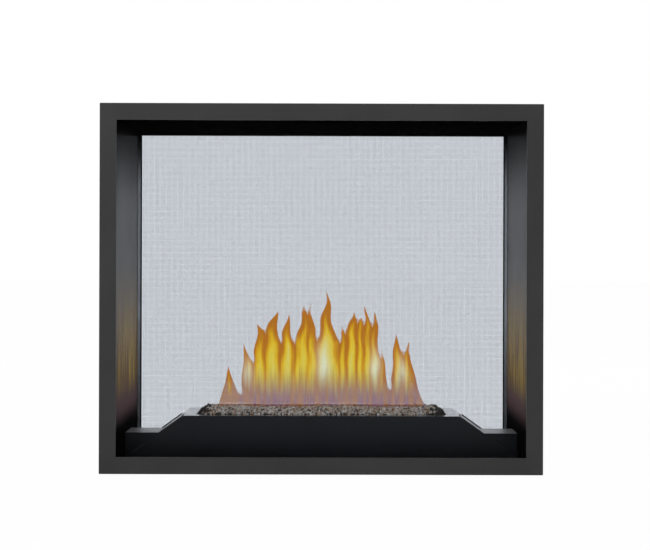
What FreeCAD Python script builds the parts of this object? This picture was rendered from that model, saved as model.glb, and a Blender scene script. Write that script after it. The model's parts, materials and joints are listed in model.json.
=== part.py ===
import FreeCAD, Part
import math
import os
import re

import Sketcher
from FreeCAD import Placement, Rotation, Vector

# A see-through direct vent gas fireplace. Origin at the middle of its base, +Z up, the front towards -Y.
# All sizes are in millimetres.

SIZES = {
    # Openings and trim
    "opening_width": 1000,
    "opening_height": 822,
    "overall_depth": 580,
    "trim_face": 41,
    "trim_depth": 22,
    "trim_gauge": 2,
    "trim_lip": 10,
    "trim_round": 2.5,
    # Safety screens behind the trim
    "screen_thickness": 7,
    "screen_reveal": 3,
    "screen_margin": 32,
    "rabbet_width": 6,
    "rabbet_depth": 3,
    "mesh_gauge": 0.8,
    "mesh_wire": 2.4,
    "mesh_play": 0.5,
    "standoff_length": 30,
    "standoff_width": 12,
    "standoff_spread": 300,
    "peg_radius": 4,
    "peg_reach": 8,
    "peg_offset": 23,
    "peg_inset": 100,
    "peg_play": 0.1,
    # Glazed doors
    "door_setback": 22,
    "door_thickness": 18,
    "door_margin": 33,
    "door_reveal": 7,
    "door_rail": 14,
    "door_head": 16,
    "glass_thickness": 5,
    "glass_rabbet": 6,
    "glass_play": 1,
    "gasket_thickness": 2,
    "gasket_width": 3.5,
    "gasket_recess": 4,
    "seal_width": 6,
    "seal_inset": 8,
    "seal_sill": 1,
    "seal_head": 3,
    "seal_play": 0.2,
    # Bottom hinges of the doors
    "hinge_inset": 120,
    "hinge_height": 20,
    "hinge_setback": 32,
    "hinge_eye": 8,
    "hinge_pin": 4,
    "hinge_play": 0.08,
    "lug_width": 20,
    "cheek_gap": 1,
    "cheek_width": 5,
    "bracket_plate": 2,
    "bracket_flange": 8,
    "pin_head": 2,
    # Spring catches over the doors
    "catch_inset": 250,
    "catch_width": 25,
    "catch_gauge": 1.2,
    "catch_length": 46,
    "catch_tip": 10,
    "catch_reach": 16,
    "catch_play": 0.3,
    # Casing
    "casing_setback": 44,
    "casing_gauge": 1.5,
    "casing_side_gap": 21,
    "casing_flange": 15,
    "rail_height": 10,
    "rail_short": 56,
    "rail_width": 40,
    "rail_inset": 66,
    "screw_head": 4,
    "screw_head_height": 2.5,
    "screw_shank": 2,
    "screw_length": 8,
    "screw_play": 0.1,
    "screw_edge": 8,
    "screw_inset": 36,
    "tab_width": 40,
    "tab_gauge": 2,
    "tab_reach": 30,
    "tab_hole": 3.5,
    "tab_rise": 240,
    "tab_drop": 198,
    # Firebox
    "floor_drop": 21.5,
    "panel_setback": 7,
    "panel_thickness": 5,
    "ceiling_setback": 7,
    "relief_gap": 15,
    # Vent collars
    "exhaust_bore": 60,
    "intake_bore": 99,
    "collar_gauge": 2,
    "collar_flange": 18,
    "collar_rise": 31,
    "baffle_lap": 18,
    "baffle_drop": 20,
    "baffle_gauge": 1.5,
    # Relief flaps on the ceiling
    "flap_inset": 195,
    "flap_hole": 50,
    "flap_hole_length": 100,
    "flap_lap": 8,
    "flap_gauge": 1.5,
    "flap_rod": 1.5,
    "flap_eye": 3,
    "flap_eye_length": 60,
    "flap_play": 0.2,
    "flap_rod_play": 0.08,
    "flap_foot": 6,
    "flap_foot_gap": 1,
    # Burner housing
    "housing_depth": 240,
    "housing_gauge": 1.5,
    "plateau_rise": 86,
    "plateau_gap": 158,
    "ramp_run": 150,
    "step_rise": 43,
    "step_gap": 11,
    "cover_depth": 120,
    "cover_lap": 52,
    "cover_play": 0.3,
    "service_edge": 6,
    "service_margin": 10,
    # Ember tray, bed and burner tube
    "bed_margin": 29,
    "bed_edge": 35,
    "bed_rise": 15,
    "bed_crown_inset": 18,
    "bed_play": 0.3,
    "tray_gauge": 1.5,
    "tray_drop": 22,
    "tray_flange": 8,
    "slot_inset": 70,
    "slot_width": 16,
    "tube_radius": 14,
    "tube_gauge": 1.5,
    "tube_inset": 20,
    "tube_drop": 17.5,
    "tube_leg": 10,
    "tube_leg_depth": 24,
    "tube_leg_inset": 100,
    "bell_flare": 3,
    "bell_length": 14,
    "shutter_gauge": 2,
    "shutter_length": 28,
    "shutter_offset": 10,
    "shutter_play": 0.1,
    "air_slot": 14,
    "air_slot_width": 8,
    "orifice_radius": 6,
    "orifice_length": 16,
    "orifice_bore": 1.2,
    "orifice_gap": 6,
    # Gas train
    "valve_length": 64,
    "valve_depth": 68,
    "valve_height": 34,
    "valve_margin": 3,
    "valve_setback": 18,
    "knob_radius": 15,
    "knob_height": 17,
    "knob_stem": 4,
    "knob_stem_height": 11,
    "knob_offset": 15,
    "flame_knob_radius": 10,
    "flame_knob_height": 15,
    "flame_stem": 3,
    "knob_lift": 0.3,
    "knob_play": 0.08,
    "knob_grip": 2,
    "manifold_radius": 5,
    "manifold_lead": 27,
    "manifold_bend": 14,
    "manifold_inset": 11,
    "feed_radius": 6,
    "feed_bore": 4.5,
    "feed_inset": 51,
    "feed_height": 16,
    "shutoff_length": 50,
    "shutoff_depth": 32,
    "shutoff_height": 31,
    "shutoff_margin": 5,
    "lever_stem": 5,
    "lever_stem_height": 14,
    "lever_hub": 9,
    "lever_length": 44,
    "lever_width": 12,
    "lever_gauge": 4,
    "lever_lift": 5,
    "lever_play": 0.08,
    "inlet_radius": 11,
    "inlet_bore": 9.2,
    "inlet_reach": 16,
    "inlet_play": 1,
    "igniter_radius": 9,
    "igniter_height": 40,
    "igniter_bore_depth": 22,
    "igniter_inset": 30,
    "igniter_reach": 42,
    "button_radius": 6,
    "button_length": 22,
    "button_float": 7,
    "button_play": 0.1,
    # Pilot behind the ember bed
    "pilot_offset": 50,
    "pilot_setback": 16,
    "pilot_post": 4,
    "pilot_hood": 7,
    "pilot_hood_wall": 1.5,
    "pilot_hood_height": 17,
    "pilot_top": 5,
    "pilot_plate": 3,
    "pilot_plate_half": 30,
    "pilot_plate_depth": 14,
    "pilot_plate_drop": 40,
    "probe_radius": 2.5,
    "probe_spread": 20,
    "probe_tail": 30,
    "probe_play": 0.1,
    "pilot_window": 4,
    # One overrun for every cut
    "overrun": 5,
}

# Counts of the openings modelled in each safety mesh
MESH_COLUMNS = 20
MESH_ROWS = 15
SCREWS_PER_SIDE = 4

# Places worked out from the sizes
PLACES = {
    "face": "overall_depth / 2",
    "half_opening": "opening_width / 2",
    "sill": "rail_height + trim_face",
    "lintel": "sill + opening_height",
    "trim_half": "half_opening + trim_face",
    "trim_top": "lintel + trim_face",
    "trim_back": "face - trim_depth",
    "trim_inside": "face - trim_gauge",
    "screen_front": "face - trim_lip",
    "screen_back": "screen_front - screen_thickness",
    "mesh_seat": "screen_front - rabbet_depth",
    "peg_line": "half_opening + peg_offset",
    "mesh_edge": "screen_reveal + rabbet_width - mesh_play",
    "door_front": "face - door_setback",
    "door_back": "door_front - door_thickness",
    "door_half": "half_opening + door_margin",
    "door_low": "sill - door_reveal - door_rail",
    "door_high": "lintel + door_reveal + door_head",
    "gasket_front": "door_front - gasket_recess",
    "glass_front": "gasket_front - gasket_thickness",
    "glass_back": "glass_front - glass_thickness",
    "glass_edge": "door_reveal + glass_rabbet - glass_play",
    "seal_out": "door_half - seal_inset",
    "hinge_spread": "half_opening - hinge_inset",
    "catch_spread": "half_opening - catch_inset",
    "hinge_line": "face - hinge_setback",
    "casing_deep": "face - casing_setback",
    "fire_deep": "casing_deep - casing_gauge",
    "rail_spread": "casing_deep - rail_inset",
    "base_top": "rail_height + casing_gauge",
    "floor_top": "sill - floor_drop",
    "panel_in": "half_opening + panel_setback",
    "panel_out": "panel_in + panel_thickness",
    "wall_out": "panel_out + casing_gauge",
    "casing_in": "wall_out + casing_side_gap",
    "casing_half": "casing_in + casing_gauge",
    "rail_half": "casing_half - rail_short",
    "ceiling_low": "lintel + ceiling_setback",
    "ceiling_top": "ceiling_low + casing_gauge",
    "casing_roof": "ceiling_top + relief_gap",
    "casing_high": "casing_roof + casing_gauge",
    "tab_low": "rail_height + tab_rise",
    "tab_high": "casing_high - tab_drop",
    "collar_top": "casing_high + collar_rise",
    "housing_front": "housing_depth / 2",
    "plateau": "sill + plateau_rise",
    "plateau_half": "panel_in - plateau_gap",
    "step_half": "panel_in - step_gap",
    "ramp_rise": "plateau - floor_top",
    "ramp_slope": "ramp_rise / ramp_run",
    "floor_half": "plateau_half + ramp_run",
    "housing_wall": "housing_gauge * sqrt(ramp_rise ^ 2 + ramp_run ^ 2) / ramp_rise",
    "housing_under": "plateau - housing_gauge",
    "step_top": "sill + step_rise",
    "step_foot": "plateau_half + (plateau - step_top) / ramp_slope",
    "service_low": "step_foot + service_edge",
    "bed_half": "plateau_half - bed_margin",
    "bed_deep": "housing_front - bed_edge",
    "slot_half": "bed_half - slot_inset",
    "tray_low": "housing_under - tray_gauge - tray_drop",
    "tray_floor": "tray_low + tray_gauge",
    "tube_half": "bed_half - tube_inset",
    "tube_leg_spread": "tube_half - tube_leg_inset",
    "tube_height": "tray_low - tube_drop",
    "shutter_low": "shutter_offset - tube_half",
    "shutter_high": "shutter_low + shutter_length",
    "shutter_bore": "tube_radius + shutter_play",
    "orifice_tip": "-tube_half - bell_length - orifice_gap",
    "orifice_seat": "orifice_tip - orifice_length",
    "valve_near": "service_low + valve_margin",
    "valve_front": "valve_setback - housing_front",
    "valve_back": "valve_front + valve_depth",
    "valve_top": "floor_top + valve_height",
    "knob_line": "valve_front + valve_depth / 2",
    "knob_far": "valve_near + valve_length / 2 + knob_offset",
    "knob_near": "valve_near + valve_length / 2 - knob_offset",
    "feed_line": "valve_back - feed_inset",
    "feed_level": "floor_top + feed_height",
    "manifold_line": "valve_back - manifold_inset",
    "manifold_elbow": "orifice_seat - manifold_lead",
    "shutoff_near": "service_low + shutoff_margin",
    "shutoff_far": "shutoff_near + shutoff_length",
    "shutoff_middle": "shutoff_near + shutoff_length / 2",
    "shutoff_top": "floor_top + shutoff_height",
    "lever_low": "shutoff_top + lever_lift",
    "igniter_line": "cover_depth - housing_front - igniter_inset",
    "igniter_middle": "service_low + igniter_reach",
    "igniter_top": "floor_top + igniter_height",
    "button_low": "igniter_top - igniter_bore_depth + button_float",
    "flap_spread": "half_opening - flap_inset",
    "flap_line": "ceiling_top + flap_play + flap_eye",
    "flap_hinge": "flap_spread - flap_hole / 2 - flap_lap - flap_eye",
    "flap_low": "ceiling_top + flap_play",
    "flap_foot_start": "flap_eye_length / 2 + flap_foot_gap",
    "flap_foot_end": "flap_foot_start + flap_foot",
    "pilot_line": "housing_front - pilot_setback",
    "pilot_high": "plateau + pilot_top",
    "pilot_plate_top": "pilot_high - pilot_plate_drop",
    "pilot_hood_low": "pilot_high - pilot_hood_height",
    "screw_line": "casing_half - screw_edge",
    "screw_pitch": f"2 * (casing_deep - screw_inset) / ({SCREWS_PER_SIDE} - 1)",
}

NAME = r"[a-z][a-z_]+"
FUNCTIONS = ("sqrt",)
AXES = "xyz"
TURNS = {
    "x": Rotation(Vector(0, 1, 0), 90),
    "y": Rotation(Vector(1, 0, 0), -90),
    "z": Rotation(),
}
MIRRORS = {"x": Vector(1, 0, 0), "y": Vector(0, 1, 0)}
LEFT_AND_RIGHT = (-1, 1)

doc = FreeCAD.newDocument("Fireplace")
sheet = doc.addObject("Spreadsheet::Sheet", "Sizes")
pieces = []


# Formulas

def spelled(text):
    """Write out the named places in a formula until only sheet sizes are left."""
    longer = re.sub(NAME, lambda word: f"({PLACES[word[0]]})" if word[0] in PLACES else word[0], text)
    return text if longer == text else spelled(longer)


def bound(text):
    """The formula as an expression on the sheet's cells."""
    return re.sub(NAME, lambda word: word[0] if word[0] in FUNCTIONS else f"Sizes.{word[0]}", spelled(text))


def number(text):
    """The formula's value in millimetres."""
    figures = re.sub(NAME, lambda word: word[0] if word[0] in FUNCTIONS else str(SIZES[word[0]]), spelled(text))
    return FreeCAD.Units.Quantity(figures).Value


def ramp_at(across):
    """Height of the housing's ramp at a distance from the middle."""
    return f"plateau - (({across}) - plateau_half) * ramp_slope"


def fill_sheet():
    for row, (alias, value) in enumerate(SIZES.items(), 1):
        sheet.set(f"A{row}", alias)
        sheet.set(f"B{row}", str(value))
        sheet.setAlias(f"B{row}", alias)
    doc.recompute()


# Solids

def keep(label, piece):
    piece.Label = label
    pieces.append(piece)
    return piece


def box(x, y, z):
    """A block between two formulas along each axis."""
    made = doc.addObject("Part::Box", "block")
    for axis, size, ends in zip(AXES, ("Length", "Width", "Height"), (x, y, z)):
        low, high = sorted(ends, key=number)
        made.setExpression(size, bound(f"({high}) - ({low})"))
        made.setExpression(f"Placement.Base.{axis}", bound(low))
    return made


def rod(axis, radius, ends, centre):
    """A round bar along an axis; centre gives its two other places in x, y, z order."""
    made = doc.addObject("Part::Cylinder", "bar")
    made.Placement = Placement(Vector(), TURNS[axis])
    low, high = sorted(ends, key=number)
    made.setExpression("Radius", bound(radius))
    made.setExpression("Height", bound(f"({high}) - ({low})"))
    others = [other for other in AXES if other != axis]
    for name, formula in [(axis, low), *zip(others, centre)]:
        made.setExpression(f"Placement.Base.{name}", bound(formula))
    return made


def fuse(*solids):
    made = doc.addObject("Part::MultiFuse", "joined")
    made.Shapes = list(solids)
    return made


def cut(base, *tools):
    made = doc.addObject("Part::Cut", "trimmed")
    made.Base = base
    made.Tool = tools[0] if len(tools) == 1 else fuse(*tools)
    return made


def group(*solids):
    """Several loose solids under one name."""
    made = doc.addObject("Part::Compound", "set")
    made.Links = list(solids)
    return made


def mirrored(source, axis):
    made = doc.addObject("Part::Mirroring", "mirrored")
    made.Source = source
    made.Normal = MIRRORS[axis]
    return made


def tube(axis, outer, bore, ends, centre):
    low, high = sorted(ends, key=number)
    inside = rod(axis, bore, (f"{low} - overrun", f"{high} + overrun"), centre)
    return cut(rod(axis, outer, ends, centre), inside)


# Sketched bodies

def body():
    return doc.addObject("PartDesign::Body", "body")


def rect(half, low, high):
    """Corners of a rectangle that is centred left to right."""
    return [(f"-({half})", low), (half, low), (half, high), (f"-({half})", high)]


def outline(drawn, points):
    """A closed run of lines whose corners are held at formulas."""
    first = drawn.GeometryCount
    count = len(points)
    spots = [Vector(number(across), number(up), 0) for across, up in points]
    for spot, following in zip(spots, spots[1:] + spots[:1]):
        drawn.addGeometry(Part.LineSegment(spot, following))
    for index, point in enumerate(points):
        line = first + index
        drawn.addConstraint(Sketcher.Constraint("Coincident", line, 2, first + (index + 1) % count, 1))
        for kind, axis_line, formula in zip(("DistanceX", "DistanceY"), (-2, -1), point):
            if formula == "0":
                drawn.addConstraint(Sketcher.Constraint("PointOnObject", line, 1, axis_line))
                continue
            held = drawn.addConstraint(Sketcher.Constraint(kind, -1, 1, line, 1, number(formula)))
            drawn.setExpression(f"Constraints[{held}]", bound(formula))


def sketch(owner, plane, offset, *loops):
    drawn = owner.newObject("Sketcher::SketchObject", "sketch")
    base = next(feature for feature in owner.Origin.OriginFeatures if feature.Role == plane)
    drawn.AttachmentSupport = [(base, "")]
    drawn.MapMode = "FlatFace"
    drawn.setExpression("AttachmentOffset.Base.z", bound(offset))
    for loop in loops:
        outline(drawn, loop)
    return drawn


def pad(owner, drawn, length, midplane=False):
    made = owner.newObject("PartDesign::Pad", "pad")
    made.Profile = drawn
    made.Midplane = midplane
    made.setExpression("Length", bound(length))
    return made


def pocket(owner, drawn, length, onwards=False, midplane=False):
    """Cut a sketch's shape away, back from its plane or onwards past it."""
    doc.recompute()
    before = owner.Shape.Volume
    made = owner.newObject("PartDesign::Pocket", "pocket")
    made.Profile = drawn
    made.Midplane = midplane
    made.Reversed = onwards
    made.setExpression("Length", bound(length))
    doc.recompute()
    assert owner.Shape.Volume < before, f"pocket {made.Name} cuts nothing"
    return made


def round_edges(owner, radius, wanted):
    """Round the edges that the test picks out."""
    doc.recompute()
    base = owner.Tip
    names = [f"Edge{index}" for index, edge in enumerate(base.Shape.Edges, 1) if wanted(edge)]
    made = owner.newObject("PartDesign::Fillet", "rounded")
    made.Base = (base, names)
    made.setExpression("Radius", bound(radius))
    return made


def turned(points, x, y, z, axis="z"):
    """A turned piece: its half profile spun about an axis and set at a place."""
    owner = body()
    drawn = sketch(owner, "XZ_Plane", "0", points)
    made = owner.newObject("PartDesign::Revolution", "turned")
    made.Profile = drawn
    made.ReferenceAxis = (drawn, ["V_Axis"])
    made.Angle = 360
    owner.Placement = Placement(Vector(), TURNS[axis])
    for name, formula in zip(AXES, (x, y, z)):
        owner.setExpression(f"Placement.Base.{name}", bound(formula))
    return owner


def ring(inner, outer, back, thickness):
    """An upright frame at the front, from its back plane out towards the viewer."""
    owner = body()
    pad(owner, sketch(owner, "XZ_Plane", back, rect(*outer), rect(*inner)), thickness)
    return owner


def around_opening(margin):
    """A rectangle that stands a margin outside the fire opening."""
    return f"half_opening + {margin}", f"sill - ({margin})", f"lintel + {margin}"


def bent_pipe(radius, points, bend):
    """A round bar along straight runs joined by arcs."""
    spots = [Vector(*(number(formula) for formula in point)) for point in points]
    reach = number(bend)
    edges = []
    start = spots[0]
    for before, corner, after in zip(spots, spots[1:], spots[2:]):
        inward = (before - corner).normalize()
        outward = (after - corner).normalize()
        entry = corner + inward * reach
        leave = corner + outward * reach
        turn = inward.getAngle(outward) / 2
        centre = corner + (inward + outward).normalize() * (reach / math.cos(turn))
        middle = centre + (corner - centre).normalize() * (entry - centre).Length
        edges.append(Part.LineSegment(start, entry).toShape())
        edges.append(Part.Arc(entry, middle, leave).toShape())
        start = leave
    edges.append(Part.LineSegment(start, spots[-1]).toShape())
    path = Part.Wire(edges)
    section = Part.Wire(Part.Circle(spots[0], spots[1] - spots[0], number(radius)).toShape())
    made = doc.addObject("Part::Feature", "pipe")
    made.Shape = path.makePipeShell([section], True, False)
    made.Placement = Placement()
    return made


# Casing

def make_casing():
    sides = ("-casing_half", "casing_half")
    depth = ("-casing_deep", "casing_deep")
    rails = []
    for side in LEFT_AND_RIGHT:
        middle = f"{side} * rail_spread"
        edges = (f"{middle} - rail_width / 2", f"{middle} + rail_width / 2")
        rails.append(box(("-rail_half", "rail_half"), edges, ("0", "rail_height")))
    keep("base_rails", group(*rails))
    keep("casing_base", box(sides, depth, ("rail_height", "base_top")))

    screws = []
    screw_holes = {side: [] for side in LEFT_AND_RIGHT}
    for side in LEFT_AND_RIGHT:
        for index in range(SCREWS_PER_SIDE):
            along = f"({index} - ({SCREWS_PER_SIDE} - 1) / 2) * screw_pitch"
            place = (f"{side} * screw_line", along)
            head = rod("z", "screw_head", ("casing_high", "casing_high + screw_head_height"), place)
            shank = rod("z", "screw_shank", ("casing_high - screw_length", "casing_high"), place)
            screws.append(fuse(head, shank))
            hole_ends = ("casing_roof - casing_gauge - overrun", "casing_high + overrun")
            screw_holes[side].append(rod("z", "screw_shank + screw_play", hole_ends, place))
    vent_hole = rod("z", "intake_bore", ("casing_roof - overrun", "casing_high + overrun"), ("0", "0"))
    roof = box(sides, depth, ("casing_roof", "casing_high"))
    keep("casing_top", cut(roof, vent_hole, *screw_holes[-1], *screw_holes[1]))
    keep("casing_screws", group(*screws))

    for label, side in zip(("casing_left", "casing_right"), LEFT_AND_RIGHT):
        wall = box((f"{side} * casing_half", f"{side} * casing_in"), depth, ("base_top", "casing_roof"))
        flange_edges = (f"{side} * casing_half", f"{side} * (casing_half - casing_flange)")
        flange_depth = ("-fire_deep", "fire_deep")
        flange = box(flange_edges, flange_depth, ("casing_roof - casing_gauge", "casing_roof"))
        holes = list(screw_holes[side])
        if side == 1:
            holes.append(inlet_hole())
        keep(label, cut(fuse(wall, flange), *holes))

    inner = ("panel_in", "sill - door_reveal", "ceiling_low")
    front_frame = ring(inner, ("casing_in", "base_top", "casing_roof"), "fire_deep", "casing_gauge")
    keep("front_face_frame", front_frame)
    keep("rear_face_frame", mirrored(front_frame, "y"))

    tabs = []
    for side in LEFT_AND_RIGHT:
        for level in ("tab_low", "tab_high"):
            height = (f"{level} - tab_width / 2", f"{level} + tab_width / 2")
            ends = (f"{side} * casing_half", f"{side} * (casing_half + tab_gauge)")
            leg = box(ends, ("-tab_width / 2", "tab_width / 2"), height)
            reach = (f"{side} * casing_half", f"{side} * (casing_half + tab_reach)")
            ear = box(reach, ("tab_width / 2 - tab_gauge", "tab_width / 2"), height)
            hole_ends = ("0", "tab_width / 2 + overrun")
            hole = rod("y", "tab_hole", hole_ends, (f"{side} * (casing_half + tab_reach / 2)", level))
            tabs.append(cut(fuse(leg, ear), hole))
    keep("mounting_tabs", group(*tabs))


def inlet_hole():
    """The way of the gas inlet through the right-hand walls."""
    ends = ("step_half - overrun", "casing_half + overrun")
    return rod("x", "inlet_radius + inlet_play", ends, ("feed_line", "feed_level"))


# Firebox

def make_firebox():
    depth = ("-fire_deep", "fire_deep")
    height = ("floor_top", "ceiling_low")
    shell = box(("-wall_out", "wall_out"), depth, ("base_top", "floor_top"))
    hollow_x = ("-(wall_out - casing_gauge)", "wall_out - casing_gauge")
    hollow_y = ("-(fire_deep - casing_gauge)", "fire_deep - casing_gauge")
    hollow = box(hollow_x, hollow_y, ("base_top - overrun", "floor_top - casing_gauge"))
    keep("firebox_floor", cut(shell, hollow))

    layers = (("firebox_wall", "panel_out", "wall_out"), ("reflector_panel", "panel_in", "panel_out"))
    for kind, inside, outside in layers:
        for hand, side in zip(("left", "right"), LEFT_AND_RIGHT):
            sheet_piece = box((f"{side} * {inside}", f"{side} * {outside}"), depth, height)
            if side == 1:
                sheet_piece = cut(sheet_piece, inlet_hole())
            keep(f"{hand}_{kind}", sheet_piece)

    slab = box(("-wall_out", "wall_out"), depth, ("ceiling_low", "ceiling_top"))
    through = ("ceiling_low - overrun", "ceiling_top + overrun")
    holes = [rod("z", "exhaust_bore", through, ("0", "0"))]
    for side in LEFT_AND_RIGHT:
        middle = f"{side} * flap_spread"
        edges = (f"{middle} - flap_hole / 2", f"{middle} + flap_hole / 2")
        holes.append(box(edges, ("-flap_hole_length / 2", "flap_hole_length / 2"), through))
    keep("firebox_ceiling", cut(slab, *holes))


# Vent collars and relief flaps

def make_vent():
    for label, bore, foot, gauge in (
        ("exhaust_collar", "exhaust_bore", "ceiling_top", "casing_gauge"),
        ("intake_collar", "intake_bore", "casing_high", "casing_gauge"),
    ):
        outer = f"{bore} + collar_gauge"
        rim = f"{outer} + collar_flange"
        rise = f"collar_top - {foot}"
        profile = [(bore, "0"), (rim, "0"), (rim, gauge), (outer, gauge), (outer, rise), (bore, rise)]
        keep(label, turned(profile, "0", "0", foot))

    # A channel under the exhaust, open to the left and right
    reach = "exhaust_bore + baffle_lap"
    sides = (f"-({reach})", reach)
    between = (f"baffle_gauge - ({reach})", f"{reach} - baffle_gauge")
    channel = box(sides, sides, ("ceiling_low - baffle_drop", "ceiling_low"))
    through = (f"-({reach}) - overrun", f"{reach} + overrun")
    room = box(through, between, ("ceiling_low - baffle_drop + baffle_gauge", "ceiling_low + overrun"))
    keep("exhaust_baffle", cut(channel, room))

    rods = []
    for hand, side in zip(("left", "right"), LEFT_AND_RIGHT):
        place = (f"{side} * flap_hinge", "flap_line")
        plate_x = (f"{side} * flap_hinge", f"{side} * (flap_spread + flap_hole / 2 + flap_lap)")
        plate_y = ("-flap_hole_length / 2 - flap_lap", "flap_hole_length / 2 + flap_lap")
        plate = box(plate_x, plate_y, ("flap_low", "flap_low + flap_gauge"))
        eye_ends = ("-flap_eye_length / 2", "flap_eye_length / 2")
        eye = rod("y", "flap_eye", eye_ends, place)
        clear_x = (f"{side} * (flap_hinge - flap_eye)", f"{side} * (flap_hinge + flap_eye + flap_foot_gap)")
        clear_z = ("ceiling_low", "flap_line + flap_eye + overrun")
        bore = rod("y", "flap_rod + flap_rod_play", ("-flap_foot_end", "flap_foot_end"), place)
        gaps = []
        for end in LEFT_AND_RIGHT:
            gap_y = (f"{end} * flap_eye_length / 2", f"{end} * (flap_hole_length / 2 + flap_lap + overrun)")
            gaps.append(box(clear_x, gap_y, clear_z))
        keep(f"{hand}_relief_flap", cut(fuse(plate, eye), bore, *gaps))

        bar = rod("y", "flap_rod", ("-flap_foot_end", "flap_foot_end"), place)
        feet = []
        for end in LEFT_AND_RIGHT:
            foot_x = (f"{side} * flap_hinge - flap_eye", f"{side} * flap_hinge + flap_eye")
            foot_y = (f"{end} * flap_foot_start", f"{end} * flap_foot_end")
            feet.append(box(foot_x, foot_y, ("ceiling_top", "flap_line + flap_eye")))
        rods.append(fuse(bar, *feet))
    keep("relief_hinge_rods", group(*rods))


# Doors and their hardware

def hinge_places():
    return [f"{side} * hinge_spread" for side in LEFT_AND_RIGHT]


def front_and_rear(label, piece):
    """Keep a front piece and its mirror image at the rear."""
    keep(f"front_{label}", piece)
    keep(f"rear_{label}", mirrored(piece, "y"))


def both_faces(solids):
    """A set of front solids with their mirror images at the rear."""
    return group(*solids, *[mirrored(solid, "y") for solid in solids])


def peg_places():
    return [(f"{side} * peg_line", level) for side in LEFT_AND_RIGHT
            for level in ("sill + peg_inset", "lintel - peg_inset")]


def make_doors():
    opening = around_opening("door_reveal")
    frame = ring(opening, ("door_half", "door_low", "door_high"), "door_back", "door_thickness")
    recess = rect(*around_opening("(door_reveal + glass_rabbet)"))
    drawn = sketch(frame, "XZ_Plane", "door_back", recess)
    pocket(frame, drawn, "door_thickness - gasket_recess", onwards=True)
    lugs = []
    bores = []
    for middle in hinge_places():
        width = (f"{middle} - lug_width / 2", f"{middle} + lug_width / 2")
        level = ("-hinge_line", "hinge_height")
        lugs.append(rod("x", "hinge_eye", width, level))
        lugs.append(box(width, ("-door_front", "-door_back"), ("hinge_height", "door_low")))
        bore_ends = (f"{middle} - lug_width", f"{middle} + lug_width")
        bores.append(rod("x", "hinge_pin + hinge_play", bore_ends, level))
    for place in peg_places():
        depth = ("-door_front - overrun", "-screen_back + peg_reach + overrun")
        bores.append(rod("y", "peg_radius + peg_play", depth, place))
    front_and_rear("door_frame", cut(fuse(frame, *lugs), *bores))

    pane_half, pane_low, pane_high = around_opening("glass_edge")
    pane = box((f"-({pane_half})", pane_half), ("-glass_front", "-glass_back"), (pane_low, pane_high))
    front_and_rear("glass", pane)
    pad_inner = around_opening("(glass_edge - gasket_width)")
    gasket = ring(pad_inner, (pane_half, pane_low, pane_high), "glass_front", "gasket_thickness")
    front_and_rear("glass_gasket", gasket)

    seal_outer = ("seal_out", "door_low + seal_sill", "door_high - seal_head")
    seal_inner = ("seal_out - seal_width", "door_low + seal_sill + seal_width",
                  "door_high - seal_head - seal_width")
    seal = ring(seal_inner, seal_outer, "casing_deep + seal_play", "door_back - casing_deep - seal_play")
    front_and_rear("door_seal", seal)


def make_door_hardware():
    brackets = []
    pins = []
    for middle in hinge_places():
        cheek_in = "lug_width / 2 + cheek_gap"
        cheek_out = f"{cheek_in} + cheek_width"
        level = ("-hinge_line", "hinge_height")
        plate_half = f"{cheek_out} + bracket_flange"
        plate_x = (f"{middle} - ({plate_half})", f"{middle} + {plate_half}")
        plate_y = ("-casing_deep - bracket_plate", "-casing_deep")
        shapes = [box(plate_x, plate_y, ("base_top", "hinge_height + hinge_eye"))]
        for end in LEFT_AND_RIGHT:
            cheek_x = (f"{middle} + {end} * ({cheek_in})", f"{middle} + {end} * ({cheek_out})")
            cheek_z = ("hinge_height - hinge_eye", "hinge_height + hinge_eye")
            shapes.append(box(cheek_x, ("-hinge_line", "-casing_deep"), cheek_z))
            shapes.append(rod("x", "hinge_eye", cheek_x, level))
        bore_ends = (f"{middle} - ({plate_half})", f"{middle} + {plate_half}")
        bore = rod("x", "hinge_pin + hinge_play / 2", bore_ends, level)
        brackets.append(cut(fuse(*shapes), bore))
        pin_ends = (f"{middle} - ({cheek_out} + pin_head)", f"{middle} + {cheek_out} + pin_head")
        pins.append(rod("x", "hinge_pin", pin_ends, level))
    keep("hinge_brackets", both_faces(brackets))
    keep("hinge_pins", both_faces(pins))

    catches = []
    for side in LEFT_AND_RIGHT:
        middle = f"{side} * catch_spread"
        width = (f"{middle} - catch_width / 2", f"{middle} + catch_width / 2")
        tip_end = "casing_deep + catch_reach"
        strip_y = (f"-({tip_end})", f"catch_length - ({tip_end})")
        strip = box(width, strip_y, ("casing_high", "casing_high + catch_gauge"))
        tip_y = (f"-({tip_end})", f"catch_tip - ({tip_end})")
        tip = box(width, tip_y, ("door_high + catch_play", "casing_high + catch_gauge"))
        catches.append(fuse(strip, tip))
    keep("spring_catches", both_faces(catches))


# Trim and safety screens

def make_trim():
    owner = ring(around_opening("0"), ("trim_half", "rail_height", "trim_top"), "trim_back", "trim_depth")
    outer = rect("trim_half - trim_gauge", "rail_height + trim_gauge", "trim_top - trim_gauge")
    lip = rect(*around_opening("trim_gauge"))
    drawn = sketch(owner, "XZ_Plane", "trim_back", outer, lip)
    pocket(owner, drawn, "trim_depth - trim_gauge", onwards=True)
    beyond = rect(*around_opening("(trim_gauge + trim_gauge)"))
    lip_cut = sketch(owner, "XZ_Plane", "trim_back", beyond)
    pocket(owner, lip_cut, "trim_depth - trim_lip", onwards=True)
    half = number("trim_half")
    low = number("rail_height")
    high = number("trim_top")
    front = -number("face")
    near = number("trim_gauge") / 2

    def outer_edge(edge):
        """Front edges and upright corners of the outer outline."""
        middle = edge.CenterOfMass
        on_side = abs(abs(middle.x) - half) < near
        on_level = min(abs(middle.z - low), abs(middle.z - high)) < near
        at_front = abs(middle.y - front) < near
        return (on_side and on_level) or (at_front and (on_side or on_level))

    round_edges(owner, "trim_round", outer_edge)
    front_and_rear("trim", owner)


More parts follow.
